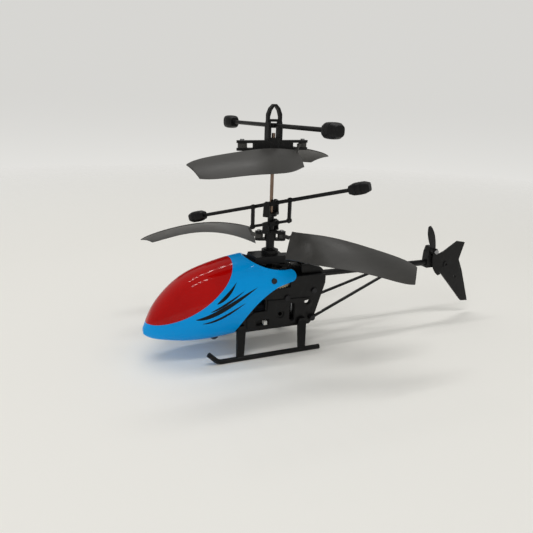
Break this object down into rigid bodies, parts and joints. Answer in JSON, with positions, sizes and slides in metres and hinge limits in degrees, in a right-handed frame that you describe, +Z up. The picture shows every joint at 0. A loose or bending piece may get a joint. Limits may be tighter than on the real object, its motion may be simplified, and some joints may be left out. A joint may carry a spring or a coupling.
{
  "type": "coaxial toy helicopter",
  "caption": "Small coaxial toy helicopter with a two-tone canopy, twisted folding blades, weighted flybars, skids, and a boom with a swept fin and tail rotor.",
  "frame": {"origin": "on the ground, under the middle of the overall length", "axes": "+X to the nose, +Y to the helicopter's left side, +Z up"},
  "size_m": [0.1864, 0.0998, 0.1128],
  "materials": {
    "canopy_blue": "gloss",
    "windscreen_red": "gloss",
    "black_plastic": "satin",
    "blade_plastic": "satin",
    "carbon_tube": "satin",
    "carbon_rod": "satin",
    "screw_steel": "satin",
    "shaft_steel": "polished",
    "motor_steel": "satin",
    "pinion_brass": "polished",
    "gear_nylon": "satin",
    "shaft_copper": "polished",
    "tube_metal": "satin",
    "battery_wrap": "satin",
    "board_green": "satin",
    "sensor_dark": "gloss",
    "knob_white": "satin"
  },
  "bodies": {
    "fuselage": {"canopy": "canopy_blue", "windscreen": "windscreen_red", "canopy_screws": "screw_steel", "chassis_left": "black_plastic", "chassis_right": "black_plastic", "chassis_screws": "screw_steel", "mast_collar": "black_plastic", "skid_left": "black_plastic", "skid_right": "black_plastic", "tail_boom": "carbon_tube", "boom_clamp": "black_plastic", "strut_left": "carbon_rod", "strut_right": "carbon_rod", "strut_screws": "screw_steel", "tail_block": "black_plastic", "tail_fin": "black_plastic", "tail_rotor_axle": "shaft_steel", "rear_motor": "motor_steel", "front_motor": "motor_steel", "lower_bush": "pinion_brass", "upper_bush": "pinion_brass", "collar_bush": "black_plastic", "battery": "battery_wrap", "circuit_board": "board_green", "ir_sensor": "sensor_dark", "power_switch": "black_plastic", "charge_socket": "black_plastic"},
    "upper_rotor": {"inner_shaft": "shaft_copper", "main_gear_lower": "gear_nylon", "shaft_stop_ring": "shaft_steel", "upper_rotor_hub": "black_plastic", "mast_loop": "black_plastic", "upper_blade_pins": "shaft_steel"},
    "lower_rotor": {"outer_shaft": "tube_metal", "main_gear_upper": "black_plastic", "lower_rotor_hub": "black_plastic", "lower_yoke_cheeks": "black_plastic", "lower_flybar_cheeks": "black_plastic", "lower_blade_pins": "shaft_steel"},
    "rear_drive": {"rear_motor_shaft": "shaft_steel", "rear_pinion": "pinion_brass"},
    "front_drive": {"front_motor_shaft": "shaft_steel", "front_pinion": "pinion_brass"},
    "tail_prop": {"tail_rotor": "black_plastic"},
    "lower_stabiliser": {"lower_flybar": "black_plastic"},
    "yoke": {"lower_yoke": "black_plastic"},
    "link_1": {"lower_link_1": "black_plastic"},
    "link_2": {"lower_link_2": "black_plastic"},
    "upper_stabiliser": {"upper_flybar": "black_plastic"},
    "lower_blade_a": {"lower_blade_1": "blade_plastic"},
    "lower_blade_b": {"lower_blade_2": "blade_plastic"},
    "upper_blade_a": {"upper_blade_1": "blade_plastic"},
    "upper_blade_b": {"upper_blade_2": "blade_plastic"},
    "switch": {"switch_knob": "knob_white"}
  },
  "joints": [
    {"name": "lower_rotor_spin", "type": "hinge", "parent": "fuselage", "child": "lower_rotor", "pos_m": [0.03275, 0, 0.052], "axis": [0, 0, 1], "continuous": true},
    {"name": "upper_rotor_spin", "type": "hinge", "parent": "fuselage", "child": "upper_rotor", "pos_m": [0.03275, 0, 0.095], "axis": [0, 0, 1], "continuous": true},
    {"name": "rear_pinion_spin", "type": "hinge", "parent": "fuselage", "child": "rear_drive", "pos_m": [0.02013, 0, 0.031], "axis": [0, 0, 1], "continuous": true},
    {"name": "front_pinion_spin", "type": "hinge", "parent": "fuselage", "child": "front_drive", "pos_m": [0.04537, 0, 0.039], "axis": [0, 0, 1], "continuous": true},
    {"name": "tail_rotor_spin", "type": "hinge", "parent": "fuselage", "child": "tail_prop", "pos_m": [-0.06175, 0.004, 0.04], "axis": [0, 1, 0], "continuous": true},
    {"name": "lower_flybar_teeter", "type": "hinge", "parent": "lower_rotor", "child": "lower_stabiliser", "pos_m": [0.03275, 0, 0.0691], "axis": [0.7683, 0.6401, 0], "range_deg": [-20, 0]},
    {"name": "lower_yoke_teeter", "type": "hinge", "parent": "lower_rotor", "child": "yoke", "pos_m": [0.03275, 0, 0.0597], "axis": [0.7683, 0.6401, 0], "range_deg": [-20, 0]},
    {"name": "lower_link_1_swing", "type": "hinge", "parent": "lower_stabiliser", "child": "link_1", "pos_m": [0.02719, 0.00668, 0.07143], "axis": [0.7683, 0.6401, 0], "range_deg": [0, 20]},
    {"name": "lower_link_2_swing", "type": "hinge", "parent": "lower_stabiliser", "child": "link_2", "pos_m": [0.03832, -0.00668, 0.06677], "axis": [0.7683, 0.6401, 0], "range_deg": [0, 20]},
    {"name": "upper_flybar_teeter", "type": "hinge", "parent": "upper_rotor", "child": "upper_stabiliser", "pos_m": [0.03275, 0, 0.1038], "axis": [0.9914, 0.1305, 0], "range_deg": [-9, 9]},
    {"name": "lower_blade_fold_1", "type": "hinge", "parent": "lower_rotor", "child": "lower_blade_a", "pos_m": [0.02774, 0.00173, 0.054], "axis": [0, 0, 1], "range_deg": [-15, 15]},
    {"name": "lower_blade_fold_2", "type": "hinge", "parent": "lower_rotor", "child": "lower_blade_b", "pos_m": [0.03776, -0.00173, 0.054], "axis": [0, 0, 1], "range_deg": [-15, 15]},
    {"name": "upper_blade_fold_1", "type": "hinge", "parent": "upper_rotor", "child": "upper_blade_a", "pos_m": [0.04812, 0.00202, 0.0953], "axis": [0, 0, 1], "range_deg": [0, 132]},
    {"name": "upper_blade_fold_2", "type": "hinge", "parent": "upper_rotor", "child": "upper_blade_b", "pos_m": [0.01738, -0.00202, 0.0953], "axis": [0, 0, 1], "range_deg": [0, 162]},
    {"name": "switch_slide", "type": "slide", "parent": "fuselage", "child": "switch", "axis": [1, 0, 0], "range_m": [0, 0.0024]}
  ],
  "couplings": [
    {"joint": "rear_pinion_spin", "follows": "upper_rotor_spin", "ratio": -4},
    {"joint": "front_pinion_spin", "follows": "lower_rotor_spin", "ratio": -4},
    {"joint": "lower_yoke_teeter", "follows": "lower_flybar_teeter", "ratio": 1},
    {"joint": "lower_link_1_swing", "follows": "lower_flybar_teeter", "ratio": -1},
    {"joint": "lower_link_2_swing", "follows": "lower_flybar_teeter", "ratio": -1}
  ]
}
